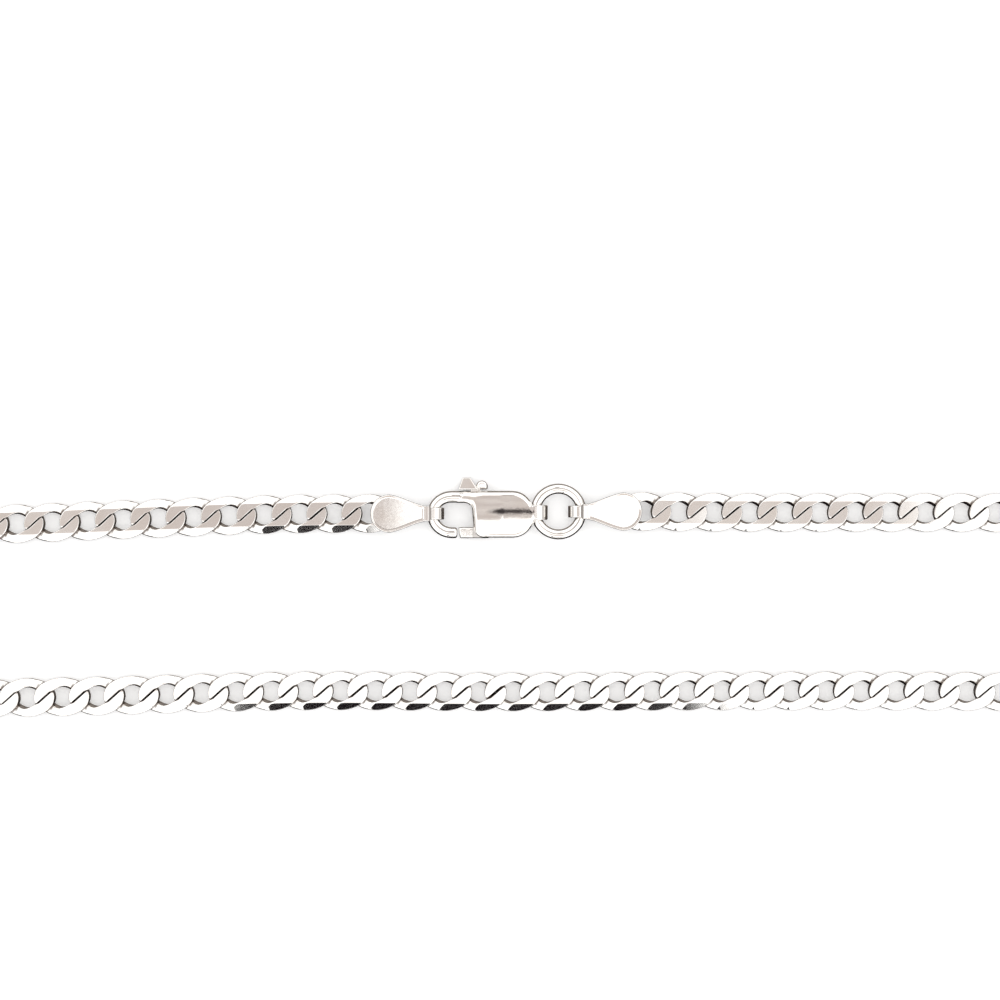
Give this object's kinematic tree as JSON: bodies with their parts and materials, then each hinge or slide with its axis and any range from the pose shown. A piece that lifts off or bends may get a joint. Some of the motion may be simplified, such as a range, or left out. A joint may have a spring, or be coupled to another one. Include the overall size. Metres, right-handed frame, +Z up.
{
  "type": "curb chain necklace",
  "caption": "Bevelled curb chain necklace laid flat as a closed loop, with a lobster clasp, jump ring and teardrop end tags.",
  "frame": {"origin": "middle of the loop on the surface that the necklace lies on", "axes": "+X along the two strands, from the clasp's hook towards its jump ring; +Y from the plain strand towards the clasp; +Z up from the surface"},
  "size_m": [0.1966, 0.025, 0.0024],
  "materials": {
    "chain_silver": "bright polished sterling silver with filed flats",
    "clasp_silver": "bright polished cast sterling silver",
    "lever_silver": "polished sterling silver, slightly duller than the body",
    "ring_silver": "bright polished silver wire",
    "tag_silver": "polished silver sheet with a satin field"
  },
  "bodies": {
    "necklace": {"chain_left": "chain_silver", "chain_right": "chain_silver", "clasp_body": "clasp_silver", "jump_ring": "ring_silver", "tag_left": "tag_silver", "tag_right": "tag_silver"},
    "lever": {"clasp_lever": "lever_silver"}
  },
  "joints": [
    {"name": "lever_pivot", "type": "hinge", "parent": "necklace", "child": "lever", "pos_m": [-0.00163, 0.00745, 0.0012], "axis": [0, 0, -1], "range_deg": [0, 18], "stiffness_Nm_per_rad": 0.005, "springref_deg": -28.65}
  ]
}
